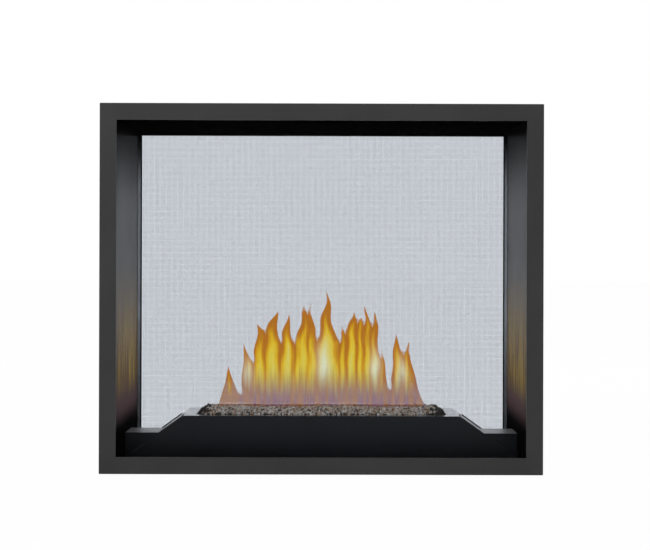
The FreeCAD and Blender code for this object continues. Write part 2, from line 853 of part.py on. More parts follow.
def make_screens():
    outer = around_opening("screen_margin")
    frame = ring(around_opening("screen_reveal"), outer, "screen_back", "screen_thickness")
    recess = sketch(frame, "XZ_Plane", "screen_front", rect(*around_opening("(screen_reveal + rabbet_width)")))
    pocket(frame, recess, "rabbet_depth")
    blocks = []
    depth = ("-trim_inside", "-screen_front")
    band = "(screen_margin + screen_reveal + rabbet_width) / 2"
    for side in LEFT_AND_RIGHT:
        for middle in (f"sill - {band}", f"lintel + {band}"):
            across = f"{side} * standoff_spread"
            width = (f"{across} - standoff_length / 2", f"{across} + standoff_length / 2")
            height = (f"{middle} - standoff_width / 2", f"{middle} + standoff_width / 2")
            blocks.append(box(width, depth, height))
        across = f"{side} * (half_opening + {band})"
        width = (f"{across} - standoff_width / 2", f"{across} + standoff_width / 2")
        for level in ("(sill + lintel) / 2 - standoff_spread", "(sill + lintel) / 2 + standoff_spread"):
            height = (f"{level} - standoff_length / 2", f"{level} + standoff_length / 2")
            blocks.append(box(width, depth, height))
    front_and_rear("screen_frame", fuse(frame, *blocks))

    pegs = [rod("y", "peg_radius", ("-screen_back", "-door_front + peg_reach"), place) for place in peg_places()]
    front_and_rear("locating_pegs", group(*pegs))
    front_and_rear("screen_mesh", screen_mesh())


def screen_mesh():
    """A thin sheet pierced by an even grid of openings."""
    half, low, high = (number(formula) for formula in around_opening("mesh_edge"))
    front = -number("mesh_seat")
    wire = number("mesh_wire")
    wide = (half + half - wire) / MESH_COLUMNS
    tall = (high - low - wire) / MESH_ROWS

    def loop(left, bottom, right, top):
        corners = [Vector(left, front, bottom), Vector(right, front, bottom),
                   Vector(right, front, top), Vector(left, front, top)]
        return Part.makePolygon(corners + corners[:1])

    wires = [loop(-half, low, half, high)]
    for column in range(MESH_COLUMNS):
        for row in range(MESH_ROWS):
            left = -half + wire + column * wide
            bottom = low + wire + row * tall
            wires.append(loop(left, bottom, left + wide - wire, bottom + tall - wire))
    sheet_face = Part.makeFace(wires, "Part::FaceMakerBullseye")
    made = doc.addObject("Part::Feature", "mesh")
    made.Shape = sheet_face.extrude(Vector(0, -number("mesh_gauge"), 0))
    made.Placement = Placement()
    return made


# Burner housing and step covers

def make_housing():
    owner = body()
    base = "floor_top"
    trapezoid = [("-floor_half", base), ("floor_half", base), ("plateau_half", "plateau"),
                 ("-plateau_half", "plateau")]
    pad(owner, sketch(owner, "XZ_Plane", "0", trapezoid), "housing_depth", midplane=True)
    under_half = "floor_half - housing_wall - (ramp_rise - housing_gauge) / ramp_slope"
    hollow = [("-(floor_half - housing_wall)", base), ("floor_half - housing_wall", base),
              (under_half, "housing_under"), (f"-({under_half})", "housing_under")]
    drawn = sketch(owner, "XZ_Plane", "0", hollow)
    pocket(owner, drawn, "housing_depth - housing_gauge - housing_gauge", midplane=True)

    windows = [[("-bed_half", "-bed_deep"), ("bed_half", "-bed_deep"), ("bed_half", "bed_deep"),
                ("-bed_half", "bed_deep")]]
    pilot_left = "-pilot_offset - pilot_plate_half - pilot_window"
    pilot_right = "-pilot_offset + pilot_plate_half + pilot_window"
    pilot_front = "pilot_line - pilot_hood - pilot_window / 2"
    pilot_back = "pilot_line + pilot_hood + pilot_window / 2"
    windows.append([(pilot_left, pilot_front), (pilot_right, pilot_front), (pilot_right, pilot_back),
                    (pilot_left, pilot_back)])
    service_front = "service_margin - housing_front"
    service_back = "cover_depth - service_margin - housing_front"
    for side in LEFT_AND_RIGHT:
        near = f"{side} * service_low"
        far = f"{side} * (floor_half + overrun)"
        windows.append([(near, service_front), (far, service_front), (far, service_back), (near, service_back)])
    openings = sketch(owner, "XY_Plane", "plateau + overrun", *windows)
    pocket(owner, openings, "ramp_rise + overrun + overrun")
    keep("burner_housing", owner)


def make_step_covers():
    owner = body()
    lap_end = "step_foot - cover_lap"
    under = "cover_play"
    skin = "cover_play + housing_wall * ramp_slope"
    profile = [
        (lap_end, f"{ramp_at(lap_end)} + {under}"),
        ("step_half", f"{ramp_at('step_half')} + {under}"),
        ("step_half", "step_top"),
        (f"step_foot + ({skin}) / ramp_slope", "step_top"),
        (lap_end, f"{ramp_at(lap_end)} + {skin}"),
    ]
    back = "housing_front - cover_depth"
    pad(owner, sketch(owner, "XZ_Plane", back, profile), "cover_depth")
    roof = "step_top - housing_gauge"
    inside = "step_half - housing_gauge"
    hollow = [
        (f"plateau_half + (plateau - ({roof})) / ramp_slope - overrun", roof),
        (inside, f"{ramp_at(inside)} - overrun"),
        (inside, roof),
    ]
    drawn = sketch(owner, "XZ_Plane", f"{back} + housing_gauge", hollow)
    pocket(owner, drawn, "cover_depth - housing_gauge - housing_gauge", onwards=True)
    keep("left_step_cover", mirrored(owner, "x"))
    notch_y = ("feed_line - inlet_radius - inlet_play", "feed_line + inlet_radius + inlet_play")
    notch_x = ("step_half - overrun", "step_half + overrun")
    notch = box(notch_x, notch_y, ("floor_top", "feed_level + inlet_radius + inlet_play"))
    keep("right_step_cover", cut(owner, notch))


# Ember tray, bed and burner tube

def make_burner():
    lip_x = ("-bed_half - tray_flange", "bed_half + tray_flange")
    lip_y = ("-bed_deep - tray_flange", "bed_deep + tray_flange")
    lip = box(lip_x, lip_y, ("housing_under - tray_gauge", "housing_under"))
    pan_x = ("-bed_half - tray_gauge", "bed_half + tray_gauge")
    pan_y = ("-bed_deep - tray_gauge", "bed_deep + tray_gauge")
    pan = box(pan_x, pan_y, ("tray_low", "housing_under"))
    inside = box(("-bed_half", "bed_half"), ("-bed_deep", "bed_deep"), ("tray_floor", "plateau"))
    slot_y = ("-slot_width / 2", "slot_width / 2")
    slot = box(("-slot_half", "slot_half"), slot_y, ("tray_low - overrun", "tray_floor + overrun"))
    keep("ember_tray", cut(fuse(lip, pan), inside, slot))

    owner = body()
    half = "bed_half - bed_play"
    deep = "bed_deep - bed_play"
    crown_half = "bed_half - bed_crown_inset"
    crown_deep = "bed_deep - bed_crown_inset"

    def plan(across, along):
        return [(f"-({across})", f"-({along})"), (across, f"-({along})"), (across, along),
                (f"-({across})", along)]

    pad(owner, sketch(owner, "XY_Plane", "tray_floor", plan(half, deep)), "plateau - tray_floor")
    brim = sketch(owner, "XY_Plane", "plateau", plan(half, deep))
    top = sketch(owner, "XY_Plane", "plateau + bed_rise", plan(crown_half, crown_deep))
    crown = owner.newObject("PartDesign::AdditiveLoft", "crown")
    crown.Profile = brim
    crown.Sections = [top]
    keep("ember_bed", owner)

    axis = ("0", "tube_height")
    pipe = rod("x", "tube_radius", ("-tube_half", "tube_half"), axis)
    legs = []
    for side in LEFT_AND_RIGHT:
        middle = f"{side} * tube_leg_spread"
        width = (f"{middle} - tube_leg / 2", f"{middle} + tube_leg / 2")
        legs.append(box(width, ("-tube_leg_depth / 2", "tube_leg_depth / 2"), ("floor_top", "tube_height")))
    bell_bore = "tube_radius - tube_gauge"
    bell_profile = [(bell_bore, "0"), ("tube_radius", "0"), ("tube_radius + bell_flare", "bell_length"),
                    (f"{bell_bore} + bell_flare", "bell_length")]
    bell = turned(bell_profile, "-tube_half", "0", "tube_height")
    bell.Placement = Placement(bell.Placement.Base, Rotation(Vector(0, 1, 0), -90))
    bore_ends = ("-tube_half - overrun", "tube_half - tube_gauge")
    bore = rod("x", bell_bore, bore_ends, axis)
    air_x = ("shutter_low + (shutter_length - air_slot) / 2", "shutter_high - (shutter_length - air_slot) / 2")
    air_y = ("-air_slot_width / 2", "air_slot_width / 2")
    below = "tube_height - tube_radius - shutter_gauge - overrun"
    air_way = box(air_x, air_y, (below, "tube_height"))
    keep("burner_tube", cut(fuse(pipe, bell, *legs), bore, air_way))

    sleeve_ends = ("shutter_low", "shutter_high")
    sleeve = tube("x", "shutter_bore + shutter_gauge", "shutter_bore", sleeve_ends, axis)
    keep("air_shutter", cut(sleeve, box(air_x, air_y, (below, "tube_height"))))

    nozzle = rod("x", "orifice_radius", ("orifice_seat", "orifice_tip"), axis)
    jet = rod("x", "orifice_bore", ("orifice_seat - overrun", "orifice_tip + overrun"), axis)
    keep("gas_orifice", cut(nozzle, jet))


# Gas train, controls and pilot

def make_gas_train():
    body_x = ("-valve_near", "-valve_near - valve_length")
    block = box(body_x, ("valve_front", "valve_back"), ("floor_top", "valve_top"))
    stem_top = "valve_top + knob_stem_height"
    stems = [rod("z", "knob_stem", ("valve_top", stem_top), ("-knob_far", "knob_line")),
             rod("z", "flame_stem", ("valve_top", stem_top), ("-knob_near", "knob_line"))]
    keep("gas_valve", fuse(block, *stems))
    for label, radius, height, stem, across in (
        ("valve_knob", "knob_radius", "knob_height", "knob_stem", "-knob_far"),
        ("flame_knob", "flame_knob_radius", "flame_knob_height", "flame_stem", "-knob_near"),
    ):
        bore = f"{stem} + knob_play"
        profile = [(bore, "0"), (radius, "0"), (f"{radius} - knob_grip", height), ("0", height),
                   ("0", "knob_stem_height"), (bore, "knob_stem_height")]
        knob = turned(profile, across, "knob_line", "valve_top + knob_lift")
        rib_x = (f"{across} - knob_grip / 2", f"{across} + knob_grip / 2")
        rib_y = ("knob_line", f"knob_line + {radius} - knob_grip")
        rib_low = f"valve_top + knob_lift + {height}"
        keep(label, fuse(knob, box(rib_x, rib_y, (rib_low, f"{rib_low} + knob_grip"))))

    route = [
        ("-valve_near", "manifold_line", "feed_level"),
        ("manifold_elbow", "manifold_line", "feed_level"),
        ("manifold_elbow", "0", "tube_height"),
        ("orifice_seat", "0", "tube_height"),
    ]
    keep("manifold_pipe", bent_pipe("manifold_radius", route, "manifold_bend"))

    line = ("feed_line", "feed_level")
    keep("feed_pipe", tube("x", "feed_radius", "feed_bore", ("-valve_near", "shutoff_near"), line))
    block_y = ("feed_line - shutoff_depth / 2", "feed_line + shutoff_depth / 2")
    shutoff = box(("shutoff_near", "shutoff_far"), block_y, ("floor_top", "shutoff_top"))
    spindle_ends = ("shutoff_top", "shutoff_top + lever_stem_height")
    spindle = rod("z", "lever_stem", spindle_ends, ("shutoff_middle", "feed_line"))
    keep("shutoff_valve", fuse(shutoff, spindle))
    lever_z = ("lever_low", "lever_low + lever_gauge")
    hub = rod("z", "lever_hub", lever_z, ("shutoff_middle", "feed_line"))
    arm_y = ("feed_line - lever_width / 2", "feed_line + lever_width / 2")
    arm = box(("shutoff_middle", "shutoff_middle + lever_length"), arm_y, lever_z)
    eye_ends = ("lever_low - overrun", "lever_low + lever_gauge + overrun")
    eye = rod("z", "lever_stem + lever_play", eye_ends, ("shutoff_middle", "feed_line"))
    keep("shutoff_lever", cut(fuse(hub, arm), eye))
    inlet_ends = ("shutoff_far", "casing_half + inlet_reach")
    keep("gas_inlet", tube("x", "inlet_radius", "inlet_bore", inlet_ends, line))

    place = ("igniter_middle", "igniter_line")
    barrel = rod("z", "igniter_radius", ("floor_top", "igniter_top"), place)
    well = rod("z", "button_radius + button_play",
               ("igniter_top - igniter_bore_depth", "igniter_top + overrun"), place)
    keep("igniter_body", cut(barrel, well))
    keep("igniter_button", rod("z", "button_radius", ("button_low", "button_low + button_length"), place))

    post = rod("z", "pilot_post", ("floor_top", "pilot_hood_low"), ("-pilot_offset", "pilot_line"))
    hood = rod("z", "pilot_hood", ("pilot_hood_low", "pilot_high"), ("-pilot_offset", "pilot_line"))
    cup = rod("z", "pilot_hood - pilot_hood_wall",
              ("pilot_hood_low + pilot_hood_wall", "pilot_high + overrun"), ("-pilot_offset", "pilot_line"))
    plate_x = ("-pilot_offset - pilot_plate_half", "-pilot_offset + pilot_plate_half")
    plate_y = ("pilot_line - pilot_plate_depth / 2", "pilot_line + pilot_plate_depth / 2")
    plate = box(plate_x, plate_y, ("pilot_plate_top - pilot_plate", "pilot_plate_top"))
    probes = []
    holes = [cup]
    for side in LEFT_AND_RIGHT:
        spot = (f"-pilot_offset + {side} * probe_spread", "pilot_line")
        low = "pilot_plate_top - probe_tail"
        probes.append(rod("z", "probe_radius", (low, "pilot_high"), spot))
        holes.append(rod("z", "probe_radius + probe_play", (low, "pilot_high"), spot))
    keep("pilot_burner", cut(fuse(post, hood, plate), *holes))
    keep("pilot_probes", group(*probes))


# Test and write

def write_parts():
    doc.recompute()
    for thing in doc.Objects:
        assert not {"Invalid", "Error"} & set(thing.State), f"{thing.Name} {thing.Label} failed"
    for piece in pieces:
        assert not piece.Shape.isNull(), f"{piece.Label} is empty"
        assert piece.Shape.isValid(), f"{piece.Label} is not valid"
    os.makedirs("parts", exist_ok=True)
    for piece in pieces:
        piece.Shape.exportStep(f"parts/{piece.Label}.step")
    print(f"{len(pieces)} pieces written")


fill_sheet()
make_casing()
make_firebox()
make_vent()
make_doors()
make_door_hardware()
make_trim()
make_screens()
make_housing()
make_step_covers()
make_burner()
make_gas_train()
write_parts()
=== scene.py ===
import json
import math
import random

import bpy
import numpy as np
from mathutils import Euler, Matrix, Vector


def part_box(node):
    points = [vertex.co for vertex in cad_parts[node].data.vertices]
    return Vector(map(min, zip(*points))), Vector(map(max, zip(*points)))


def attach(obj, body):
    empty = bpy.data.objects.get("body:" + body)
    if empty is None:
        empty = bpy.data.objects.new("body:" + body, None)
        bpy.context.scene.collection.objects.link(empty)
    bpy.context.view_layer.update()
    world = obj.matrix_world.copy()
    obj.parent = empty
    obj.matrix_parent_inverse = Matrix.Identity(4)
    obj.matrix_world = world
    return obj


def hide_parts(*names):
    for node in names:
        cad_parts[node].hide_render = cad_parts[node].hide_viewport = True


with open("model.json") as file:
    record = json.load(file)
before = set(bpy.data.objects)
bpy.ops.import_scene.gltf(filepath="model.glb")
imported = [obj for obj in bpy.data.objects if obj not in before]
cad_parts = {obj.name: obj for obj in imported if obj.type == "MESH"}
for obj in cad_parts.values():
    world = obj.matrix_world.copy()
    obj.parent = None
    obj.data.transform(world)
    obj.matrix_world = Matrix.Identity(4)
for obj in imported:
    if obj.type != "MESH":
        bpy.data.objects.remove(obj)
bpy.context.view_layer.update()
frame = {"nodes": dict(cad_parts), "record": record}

# A see-through direct vent gas fireplace: finishes, fine screens, rope seals, ember bed and flames.
# All lengths are in metres.

scene = bpy.context.scene
rng = random.Random(41)

# The photograph's frame and the sight line measured in it
FRAME_WIDTH = 650
FRAME_HEIGHT = 550
VANISH_X = 330.0
VANISH_Y = 253.0
FOCAL_PIXELS = 1720.0
SENSOR = 36.0
EYE = Vector((0.0207, -4.475, 0.5498))
ROLL = math.radians(0.17)


# Shader sums

class Tone:
    """A socket's value; sums on it add Math nodes."""

    def __init__(self, tree, socket):
        self.tree = tree
        self.socket = socket

    def sum(self, operation, left, right):
        return add_node(self.tree, "ShaderNodeMath", {"operation": operation}, {0: left, 1: right})

    def __add__(self, other):
        return self.sum("ADD", self, other)

    def __radd__(self, other):
        return self.sum("ADD", other, self)

    def __sub__(self, other):
        return self.sum("SUBTRACT", self, other)

    def __rsub__(self, other):
        return self.sum("SUBTRACT", other, self)

    def __mul__(self, other):
        return self.sum("MULTIPLY", self, other)

    def __pow__(self, other):
        return self.sum("POWER", self, other)

    def between(self, low, high):
        """0 below low, 1 above high and a smooth step between them."""
        settings = {"interpolation_type": "SMOOTHSTEP"}
        return add_node(self.tree, "ShaderNodeMapRange", settings, {0: self, 1: low, 2: high})


def add_node(tree, kind, settings=None, inputs=None, output=0):
    """Add a node: its settings first, then the values or links of its sockets."""
    node = tree.nodes.new(kind)
    for name, value in (settings or {}).items():
        setattr(node, name, value)
    for name, value in (inputs or {}).items():
        socket = node.inputs[name]
        if isinstance(value, Tone):
            tree.links.new(value.socket, socket)
        else:
            socket.default_value = value
    return Tone(tree, node.outputs[output]) if len(node.outputs) else node


def mix(tree, share, first, second):
    """A colour between two, by a share that may vary."""
    inputs = {0: share, 6: opaque(first), 7: opaque(second)}
    return add_node(tree, "ShaderNodeMix", {"data_type": "RGBA"}, inputs, output=2)


def opaque(colour):
    return colour if isinstance(colour, Tone) else (*colour, 1)


def place_of(tree):
    """The object coordinates."""
    return add_node(tree, "ShaderNodeTexCoord", output="Object")


def axes_of(tree, vector=None):
    """A vector's three values; the object coordinates unless another is given."""
    node = tree.nodes.new("ShaderNodeSeparateXYZ")
    tree.links.new((vector or place_of(tree)).socket, node.inputs[0])
    return [Tone(tree, socket) for socket in node.outputs]


def tilt_of(tree):
    """1 on faces that look straight up, 0 on upright ones and -1 on those that look down."""
    _, _, upward = axes_of(tree, add_node(tree, "ShaderNodeTexCoord", output="Normal"))
    return upward


def looking_up(tree):
    """1 on level and gently sloping top faces, 0 on the others."""
    return tilt_of(tree).between(0.5, 0.75)


def upright(tree):
    """1 on upright faces, 0 on level ones."""
    tilt = tilt_of(tree)
    return 1 - (tilt * tilt).between(0.25, 0.55)


def stretched(tree, factors):
    """Object coordinates multiplied along each axis."""
    inputs = {0: place_of(tree), 1: factors}
    return add_node(tree, "ShaderNodeVectorMath", {"operation": "MULTIPLY"}, inputs)


def noise(tree, scale, detail, vector=None):
    inputs = {"Vector": vector or place_of(tree), "Scale": scale, "Detail": detail}
    return add_node(tree, "ShaderNodeTexNoise", None, inputs)


def cells(tree, scale, output="Distance"):
    inputs = {"Vector": place_of(tree), "Scale": scale}
    return add_node(tree, "ShaderNodeTexVoronoi", None, inputs, output)


def bump(tree, height, distance):
    inputs = {"Height": height, "Distance": distance, "Strength": 1.0}
    return add_node(tree, "ShaderNodeBump", None, inputs)


def new_material(name):
    made = bpy.data.materials.new(name)
    made.use_nodes = True
    made.node_tree.nodes.clear()
    return made, made.node_tree


def surface(tree, inputs):
    shader = add_node(tree, "ShaderNodeBsdfPrincipled", None, inputs)
    add_node(tree, "ShaderNodeOutputMaterial", None, {"Surface": shader})


# Finishes

def coated_steel(name, dark, light, rough, peel_scale, peel_depth,
                 shine=0.5, top_gloss=0.0, top_rough=0.1):
    """Painted sheet: slow mottling, a fine orange peel and uneven gloss, with glossier top faces if asked."""
    made, tree = new_material(name)
    mottle = noise(tree, 9.0, 4.0)
    peel = noise(tree, peel_scale, 2.0)
    speck = noise(tree, peel_scale * 2.3, 1.0)
    colour = mix(tree, (mottle * 0.5 + speck * 0.5).between(0.3, 0.7), dark, light)
    inputs = {
        "Base Color": colour,
        "Roughness": rough + (mottle - 0.5) * 0.16,
        "Specular IOR Level": shine,
        "Normal": bump(tree, peel, peel_depth),
    }
    if top_gloss:
        inputs["Coat Weight"] = looking_up(tree) * top_gloss
        inputs["Coat Roughness"] = top_rough
    surface(tree, inputs)
    return made


def steel_with_painted_shade():
    """Bare steel frames, black on their level faces, with painted shade that darkens them towards the top and
    the bottom.
    """
    made, tree = new_material("steel_with_painted_shade")
    standing = upright(tree)
    _, _, high = axes_of(tree)
    # Painted shade: the steel colour fades to black towards the top and partly towards the bottom; level
    # faces are black
    bright_share = standing * (1 - high.between(0.72, 0.87)) * (0.55 + high.between(0.20, 0.40) * 0.45)
    patch = noise(tree, 35.0, 4.0)
    steel = mix(tree, patch, (0.64, 0.64, 0.645), (0.78, 0.78, 0.785))
    surface(tree, {
        "Base Color": mix(tree, bright_share, (0.004, 0.004, 0.004), steel),
        "Metallic": standing,
        "Roughness": 0.38 + (patch - 0.5) * 0.25,
        "Specular IOR Level": 0.0,
    })
    return made


def polished_panel_with_painted_glow():
    """Black liner, polished at mid height and sooty above and below, with a painted reflection and glow of
    the fire in its emission.
    """
    made, tree = new_material("polished_black_panel_with_painted_glow")
    film = noise(tree, 6.0, 5.0).between(0.35, 0.75)
    _, deep, high = axes_of(tree)
    # Painted reflection and glow of the fire: amber streaks like flame licks in the emission, low on the
    # liner near the middle of its depth, dimmer and violet at their lowest
    painted_flame_streak = noise(tree, 1.0, 2.0, stretched(tree, (1.0, 26.0, 5.0))).between(0.36, 0.72)
    rise = high.between(0.105, 0.165) * (1 - (high + (painted_flame_streak - 0.5) * 0.08).between(0.28, 0.54))
    reach = 1 - (deep * deep).between(0.015, 0.13)
    warm = mix(tree, painted_flame_streak, (0.07, 0.032, 0.008), (0.25, 0.165, 0.016))
    painted_fire_glow = mix(tree, high.between(0.16, 0.25), (0.060, 0.034, 0.036), warm)
    glow = mix(tree, rise * reach, (0, 0, 0), painted_fire_glow)
    bright_share = high.between(0.08, 0.50) * (1 - high.between(0.64, 0.87) * 0.85)
    surface(tree, {
        "Base Color": mix(tree, film, (0.004, 0.004, 0.005), (0.007, 0.007, 0.008)),
        "Roughness": 0.6,
        "Specular IOR Level": 0.0,
        "Coat Weight": bright_share * (0.61 - film * 0.08),
        "Coat IOR": 1.3,
        "Coat Roughness": 0.28,
        "Emission Color": glow,
        "Emission Strength": 1.0,
    })
    return made


def zinc_sheet():
    """Galvanised sheet with its crystal spangle."""
    made, tree = new_material("galvanised_sheet")
    flake = add_node(tree, "ShaderNodeSeparateColor", None, {0: cells(tree, 70.0, "Color")})
    grain = noise(tree, 900.0, 2.0)
    tint = flake * 0.75 + grain * 0.25
    surface(tree, {
        "Base Color": mix(tree, tint, (0.33, 0.345, 0.36), (0.50, 0.515, 0.53)),
        "Metallic": 1.0,
        "Roughness": 0.46 + flake * 0.16,
        "Normal": bump(tree, flake * 0.7 + grain * 0.3, 0.00006),
    })
    return made


def worked_metal(name, dark, light, rough, grain=(40.0, 900.0, 900.0)):
    """Bare metal with a drawn grain and dull patches."""
    made, tree = new_material(name)
    lines = noise(tree, 1.0, 3.0, stretched(tree, grain))
    patch = noise(tree, 35.0, 4.0)
    surface(tree, {
        "Base Color": mix(tree, lines * 0.5 + patch * 0.5, dark, light),
        "Metallic": 1.0,
        "Roughness": rough + (patch - 0.5) * 0.25,
        "Normal": bump(tree, lines, 0.00004),
    })
    return made


def moulded_plastic(name, dark, light):
    made, tree = new_material(name)
    grain = cells(tree, 1800.0)
    smudge = noise(tree, 60.0, 4.0)
    surface(tree, {
        "Base Color": mix(tree, smudge, dark, light),
        "Roughness": 0.45 + (smudge - 0.5) * 0.2,
        "Normal": bump(tree, grain, 0.00006),
    })
    return made


def glass_rope():
    """Twisted glass-fibre rope, charcoal grey."""
    made, tree = new_material("glass_fibre_rope")
    strands = add_node(tree, "ShaderNodeTexWave", {"bands_direction": "DIAGONAL"},
                       {"Vector": place_of(tree), "Scale": 260.0, "Distortion": 1.5, "Detail": 2.0})
    strand = add_node(tree, "ShaderNodeSeparateColor", None, {0: strands})
    fuzz = noise(tree, 1500.0, 3.0)
    surface(tree, {
        "Base Color": mix(tree, strand * 0.7 + fuzz * 0.3, (0.02, 0.02, 0.02), (0.09, 0.088, 0.085)),
        "Roughness": 0.9,
        "Normal": bump(tree, strand * 0.8 + fuzz * 0.2, 0.0006),
    })
    return made


def clear_pane():
    """Clear ceramic glass with a cool tint and a faint film of dust."""
    made, tree = new_material("clear_ceramic_glass")
    film = noise(tree, 5.0, 3.0).between(0.35, 0.7)
    tinted = add_node(tree, "ShaderNodeBsdfTransparent", None, {"Color": (0.970, 0.983, 1.0, 1)})
    skin = add_node(tree, "ShaderNodeBsdfPrincipled", None, {
        "Base Color": (0.02, 0.022, 0.025, 1),
        "Roughness": 0.03 + film * 0.05,
    })
    pane = add_node(tree, "ShaderNodeMixShader", None, {0: 0.002 + film * 0.004, 1: tinted, 2: skin})
    add_node(tree, "ShaderNodeOutputMaterial", None, {"Surface": pane})
    return made


def chip_stone():
    """Crushed lava and vermiculite; each chip carries its own colour."""
    made, tree = new_material("crushed_media")
    own = add_node(tree, "ShaderNodeAttribute", {"attribute_name": "chip_colour"})
    pits = cells(tree, 700.0)
    dust = noise(tree, 420.0, 4.0)
    shade = mix(tree, dust.between(0.35, 0.7), (0.72, 0.70, 0.68), (1.0, 1.0, 1.0))
    colour = add_node(tree, "ShaderNodeMix", {"data_type": "RGBA", "blend_type": "MULTIPLY"},
                      {0: 1.0, 6: own, 7: shade}, output=2)
    surface(tree, {
        "Base Color": colour,
        "Roughness": 0.75 + dust * 0.2,
        "Normal": bump(tree, pits * 0.6 + dust * 0.4, 0.0008),
    })
    return made


def flame_light():
    """Glowing gas: violet at the foot, yellow in the body, amber along the edges and tips."""
    made, tree = new_material("burning_gas")
    own = add_node(tree, "ShaderNodeAttribute", {"attribute_name": "flame_place"})
    haze = Tone(tree, own.socket.node.outputs["Alpha"])
    edge, rise, level = axes_of(tree, own)
    streak = noise(tree, 1.0, 2.0, stretched(tree, (85.0, 1.0, 4.0)))
    fleck = noise(tree, 1.0, 3.0, stretched(tree, (230.0, 1.0, 9.0)))
    warm = (edge * 1.15 - rise ** 3 * 0.30 + (streak - 0.5) * 1.3).between(0.02, 0.92)
    hot = add_node(tree, "ShaderNodeAttribute", {"attribute_name": "flame_heat"}, output="Fac")
    grain = (streak - 0.5) * 0.8 + (fleck - 0.5) * 0.6
    core = (edge * 0.5 + grain).between(0.40, 0.95) * 0.5 + hot * 0.85
    amber = mix(tree, warm, (0.52, 0.185, 0.018), (0.88, 0.535, 0.014))
    pale = (edge + (streak - 0.5) * 0.9).between(0.40, 1.0) * (1 - rise.between(0.50, 0.90)) * 0.75
    lemon = mix(tree, pale, amber, (0.80, 0.68, 0.085))
    bright = mix(tree, core, lemon, (0.82, 0.86, 0.62))
    foot = 1 - (level + (fleck - 0.5) * 0.16 + (streak - 0.5) * 0.30).between(0.05, 0.38)
    cool = streak.between(0.38, 0.62) * axes_of(tree)[0].between(-0.24, -0.19)
    violet = mix(tree, cool, (0.36, 0.13, 0.035), (0.22, 0.07, 0.13))
    colour = mix(tree, foot, bright, violet)
    soft_edge = edge.between(0.0, 0.05 + haze * 0.45)
    soft_foot = 0.4 + level.between(0.0, 0.04) * 0.6
    thin = soft_edge * (0.92 - foot * 0.38) * soft_foot
    surface(tree, {
        "Base Color": (0, 0, 0, 1),
        "Roughness": 1.0,
        "Specular IOR Level": 0.0,
        "Emission Color": colour,
        "Emission Strength": 1.06,
        "Alpha": thin,
    })
    return made


SATIN_DARK = (0.008, 0.0085, 0.0108)
SATIN_LIGHT = (0.011, 0.0115, 0.0142)

FINISHES = {
    "trim_paint": coated_steel("charcoal_powder_coat", (0.024, 0.024, 0.024), (0.036, 0.036, 0.036), 0.55,
                               1500.0, 0.00008, shine=0.22),
    "screen_black": coated_steel("black_wire_paint", (0.002, 0.002, 0.002), (0.004, 0.004, 0.004), 0.6,
                                 1200.0, 0.00003, shine=0.04),
    "reflector_black": polished_panel_with_painted_glow(),
    "firebox_black": coated_steel("black_stove_paint", (0.002, 0.002, 0.002), (0.005, 0.005, 0.005), 0.75,
                                  1300.0, 0.00007, shine=0.0),
    "housing_black": coated_steel("satin_housing_paint", SATIN_DARK, SATIN_LIGHT, 0.32, 1100.0, 0.00001,
                                  shine=0.24, top_gloss=1.0),
    "door_glass": clear_pane(),
    "rope_seal": glass_rope(),
    "embers": chip_stone(),
    "gas_brass": worked_metal("machined_brass", (0.50, 0.34, 0.12), (0.72, 0.53, 0.22), 0.32),
    "valve_cast": worked_metal("cast_aluminium", (0.42, 0.43, 0.44), (0.62, 0.63, 0.64), 0.5, (300.0,) * 3),
    "lever_red": coated_steel("red_enamel", (0.36, 0.02, 0.015), (0.48, 0.035, 0.025), 0.3, 900.0, 0.00004),
    "control_black": moulded_plastic("moulded_black", (0.012, 0.012, 0.012), (0.03, 0.03, 0.03)),
    "hardware_steel": worked_metal("plain_steel", (0.36, 0.36, 0.37), (0.58, 0.58, 0.59), 0.38),
    "casing_zinc": zinc_sheet(),
}


def finish_frame():
    """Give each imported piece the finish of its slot; frames and step covers have their own."""
    steel = steel_with_painted_shade()
    satin = coated_steel("satin_black_paint", SATIN_DARK, SATIN_LIGHT, 0.32, 1100.0, 0.00001,
                         shine=0.2, top_gloss=0.85, top_rough=0.48)
    for part in frame["record"]["subparts"]:
        slots = frame["nodes"][part["node"]].data.materials
        slots.clear()
        if "screen_frame" in part["node"] or "door_frame" in part["node"]:
            slots.append(steel)
        elif "step_cover" in part["node"]:
            slots.append(satin)
        else:
            slots.append(FINISHES[part["material_slot"]])


# Meshes

def new_piece(name, points, faces, material, smooth=False):
    data = bpy.data.meshes.new(name)
    data.from_pydata(points, [], faces)
    data.materials.append(material)
    data.update()
    if smooth:
        data.polygons.foreach_set("use_smooth", [True] * len(data.polygons))
    made = bpy.data.objects.new(name, data)
    scene.collection.objects.link(made)
    return made


def paint_points(piece, name, colours):
    """Store one colour for each point of a piece."""
    layer = piece.data.color_attributes.new(name, "FLOAT_COLOR", "POINT")
    layer.data.foreach_set("color", np.asarray(colours, np.float32).ravel())


# Safety screens

MESH_PITCH = 0.00189
WIRE = 0.00021


